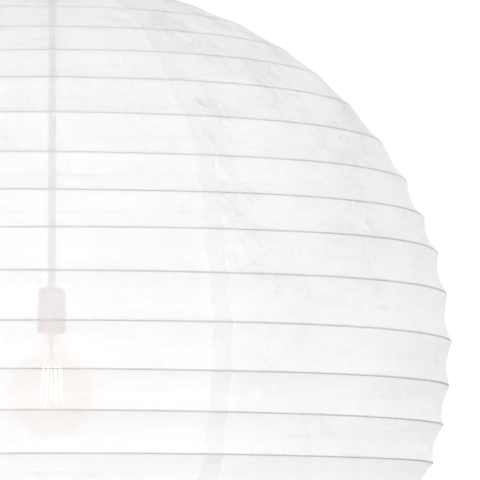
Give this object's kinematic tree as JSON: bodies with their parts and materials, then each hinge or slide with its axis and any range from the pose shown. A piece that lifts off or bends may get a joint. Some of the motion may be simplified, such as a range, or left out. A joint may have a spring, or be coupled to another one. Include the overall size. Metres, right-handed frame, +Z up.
{
  "type": "paper lantern pendant",
  "caption": "Large round white paper lantern shade on split-cane hoops, hung by a spider from a rigid stem with a lampholder and globe bulb.",
  "frame": {"origin": "centre of the ceiling plate's upper face, where the lantern meets the ceiling", "axes": "+Z up along the stem; the lantern hangs below the origin; -Y faces the viewer of the front"},
  "size_m": [1.1196, 1.1196, 1.1702],
  "materials": {
    "paper": "thin translucent washi paper, matt, with long fibres and fine wrinkles",
    "cane": "split bamboo cane, matt",
    "wire": "white lacquered steel wire",
    "steel": "zinc plated steel",
    "stem": "satin dark nickel tube",
    "canopy": "satin white powder coat",
    "holder": "satin copper-brown metal sleeve",
    "brass": "plain brass",
    "ceramic": "glazed white porcelain",
    "plastic": "white nylon",
    "black_glass": "black vitrified glass",
    "brown_pvc": "brown PVC insulation",
    "blue_pvc": "blue PVC insulation",
    "amber_glass": "clear glass with a light amber tint",
    "clear_glass": "clear glass",
    "filament": "phosphor coated filament bars, lit warm white"
  },
  "bodies": {
    "fixture": {"ceiling_plate": "steel", "stem_bridge": "steel", "lock_nut_upper": "brass", "lock_nut_lower": "brass", "terminal_block": "plastic", "core_wire_brown": "brown_pvc", "core_wire_blue": "blue_pvc", "stem_tube": "stem", "shade_collar": "stem", "shade_collar_screw": "steel", "holder_cap": "holder", "holder_sleeve": "holder", "holder_insulator": "ceramic", "holder_thread_shell": "brass", "holder_contact": "brass"},
    "canopy": {"canopy_cup": "canopy", "canopy_collar": "canopy", "canopy_collar_screw": "steel"},
    "shade": {"spider_hub": "steel", "spider_arm_1": "steel", "spider_arm_2": "steel", "spider_arm_3": "steel", "top_ring": "wire", "paper_gore_1": "paper", "paper_gore_2": "paper", "paper_gore_3": "paper", "paper_gore_4": "paper"},
    "mouth": {"bottom_ring": "wire"},
    "bulb": {"lamp_tip_contact": "brass", "lamp_cap_insulator": "black_glass", "lamp_cap_shell": "brass", "lamp_glass": "amber_glass", "lamp_foot": "clear_glass", "lamp_filaments": "filament"},
    "rib_01": {"hoop_01": "cane"},
    "rib_02": {"hoop_02": "cane"},
    "rib_03": {"hoop_03": "cane"},
    "rib_04": {"hoop_04": "cane"},
    "rib_05": {"hoop_05": "cane"},
    "rib_06": {"hoop_06": "cane"},
    "rib_07": {"hoop_07": "cane"},
    "rib_08": {"hoop_08": "cane"},
    "rib_09": {"hoop_09": "cane"},
    "rib_10": {"hoop_10": "cane"},
    "rib_11": {"hoop_11": "cane"},
    "rib_12": {"hoop_12": "cane"},
    "rib_13": {"hoop_13": "cane"},
    "rib_14": {"hoop_14": "cane"},
    "rib_15": {"hoop_15": "cane"},
    "rib_16": {"hoop_16": "cane"},
    "rib_17": {"hoop_17": "cane"},
    "rib_18": {"hoop_18": "cane"},
    "rib_19": {"hoop_19": "cane"},
    "rib_20": {"hoop_20": "cane"},
    "rib_21": {"hoop_21": "cane"},
    "rib_22": {"hoop_22": "cane"},
    "rib_23": {"hoop_23": "cane"},
    "rib_24": {"hoop_24": "cane"}
  },
  "joints": [
    {"name": "canopy_slide", "type": "slide", "parent": "fixture", "child": "canopy", "axis": [0, 0, -1], "range_m": [0, 0.075]},
    {"name": "shade_swivel", "type": "hinge", "parent": "fixture", "child": "shade", "pos_m": [0, 0, -0.1498], "axis": [0, 0, 1], "continuous": true},
    {"name": "shade_collapse", "type": "slide", "parent": "shade", "child": "mouth", "axis": [0, 0, 1], "range_m": [0, 0.8979], "deforming": ["paper_gore_1", "paper_gore_2", "paper_gore_3", "paper_gore_4"]},
    {"name": "rib_01_rise", "type": "slide", "parent": "shade", "child": "rib_01", "axis": [0, 0, 1], "range_m": [0, 0.0116]},
    {"name": "rib_02_rise", "type": "slide", "parent": "shade", "child": "rib_02", "axis": [0, 0, 1], "range_m": [0, 0.0274]},
    {"name": "rib_03_rise", "type": "slide", "parent": "shade", "child": "rib_03", "axis": [0, 0, 1], "range_m": [0, 0.0509]},
    {"name": "rib_04_rise", "type": "slide", "parent": "shade", "child": "rib_04", "axis": [0, 0, 1], "range_m": [0, 0.0809]},
    {"name": "rib_05_rise", "type": "slide", "parent": "shade", "child": "rib_05", "axis": [0, 0, 1], "range_m": [0, 0.1134]},
    {"name": "rib_06_rise", "type": "slide", "parent": "shade", "child": "rib_06", "axis": [0, 0, 1], "range_m": [0, 0.1502]},
    {"name": "rib_07_rise", "type": "slide", "parent": "shade", "child": "rib_07", "axis": [0, 0, 1], "range_m": [0, 0.1946]},
    {"name": "rib_08_rise", "type": "slide", "parent": "shade", "child": "rib_08", "axis": [0, 0, 1], "range_m": [0, 0.2423]},
    {"name": "rib_09_rise", "type": "slide", "parent": "shade", "child": "rib_09", "axis": [0, 0, 1], "range_m": [0, 0.2868]},
    {"name": "rib_10_rise", "type": "slide", "parent": "shade", "child": "rib_10", "axis": [0, 0, 1], "range_m": [0, 0.3305]},
    {"name": "rib_11_rise", "type": "slide", "parent": "shade", "child": "rib_11", "axis": [0, 0, 1], "range_m": [0, 0.381]},
    {"name": "rib_12_rise", "type": "slide", "parent": "shade", "child": "rib_12", "axis": [0, 0, 1], "range_m": [0, 0.4386]},
    {"name": "rib_13_rise", "type": "slide", "parent": "shade", "child": "rib_13", "axis": [0, 0, 1], "range_m": [0, 0.4932]},
    {"name": "rib_14_rise", "type": "slide", "parent": "shade", "child": "rib_14", "axis": [0, 0, 1], "range_m": [0, 0.5406]},
    {"name": "rib_15_rise", "type": "slide", "parent": "shade", "child": "rib_15", "axis": [0, 0, 1], "range_m": [0, 0.5881]},
    {"name": "rib_16_rise", "type": "slide", "parent": "shade", "child": "rib_16", "axis": [0, 0, 1], "range_m": [0, 0.6397]},
    {"name": "rib_17_rise", "type": "slide", "parent": "shade", "child": "rib_17", "axis": [0, 0, 1], "range_m": [0, 0.6879]},
    {"name": "rib_18_rise", "type": "slide", "parent": "shade", "child": "rib_18", "axis": [0, 0, 1], "range_m": [0, 0.7269]},
    {"name": "rib_19_rise", "type": "slide", "parent": "shade", "child": "rib_19", "axis": [0, 0, 1], "range_m": [0, 0.7615]},
    {"name": "rib_20_rise", "type": "slide", "parent": "shade", "child": "rib_20", "axis": [0, 0, 1], "range_m": [0, 0.7968]},
    {"name": "rib_21_rise", "type": "slide", "parent": "shade", "child": "rib_21", "axis": [0, 0, 1], "range_m": [0, 0.8288]},
    {"name": "rib_22_rise", "type": "slide", "parent": "shade", "child": "rib_22", "axis": [0, 0, 1], "range_m": [0, 0.853]},
    {"name": "rib_23_rise", "type": "slide", "parent": "shade", "child": "rib_23", "axis": [0, 0, 1], "range_m": [0, 0.8711]},
    {"name": "rib_24_rise", "type": "slide", "parent": "shade", "child": "rib_24", "axis": [0, 0, 1], "range_m": [0, 0.8868]},
    {"name": "bulb_turn", "type": "hinge", "parent": "fixture", "child": "bulb", "pos_m": [0, 0, -0.65], "axis": [0, 0, -1], "range_deg": [0, 1080]}
  ],
  "couplings": [
    {"joint": "rib_01_rise", "follows": "shade_collapse", "ratio": 0.01272},
    {"joint": "rib_02_rise", "follows": "shade_collapse", "ratio": 0.03024},
    {"joint": "rib_03_rise", "follows": "shade_collapse", "ratio": 0.05645},
    {"joint": "rib_04_rise", "follows": "shade_collapse", "ratio": 0.0899},
    {"joint": "rib_05_rise", "follows": "shade_collapse", "ratio": 0.12612},
    {"joint": "rib_06_rise", "follows": "shade_collapse", "ratio": 0.16706},
    {"joint": "rib_07_rise", "follows": "shade_collapse", "ratio": 0.2165},
    {"joint": "rib_08_rise", "follows": "shade_collapse", "ratio": 0.26958},
    {"joint": "rib_09_rise", "follows": "shade_collapse", "ratio": 0.3192},
    {"joint": "rib_10_rise", "follows": "shade_collapse", "ratio": 0.36781},
    {"joint": "rib_11_rise", "follows": "shade_collapse", "ratio": 0.42413},
    {"joint": "rib_12_rise", "follows": "shade_collapse", "ratio": 0.48823},
    {"joint": "rib_13_rise", "follows": "shade_collapse", "ratio": 0.54906},
    {"joint": "rib_14_rise", "follows": "shade_collapse", "ratio": 0.60184},
    {"joint": "rib_15_rise", "follows": "shade_collapse", "ratio": 0.65477},
    {"joint": "rib_16_rise", "follows": "shade_collapse", "ratio": 0.71217},
    {"joint": "rib_17_rise", "follows": "shade_collapse", "ratio": 0.76585},
    {"joint": "rib_18_rise", "follows": "shade_collapse", "ratio": 0.80933},
    {"joint": "rib_19_rise", "follows": "shade_collapse", "ratio": 0.84792},
    {"joint": "rib_20_rise", "follows": "shade_collapse", "ratio": 0.88716},
    {"joint": "rib_21_rise", "follows": "shade_collapse", "ratio": 0.92286},
    {"joint": "rib_22_rise", "follows": "shade_collapse", "ratio": 0.94972},
    {"joint": "rib_23_rise", "follows": "shade_collapse", "ratio": 0.96995},
    {"joint": "rib_24_rise", "follows": "shade_collapse", "ratio": 0.98736}
  ]
}
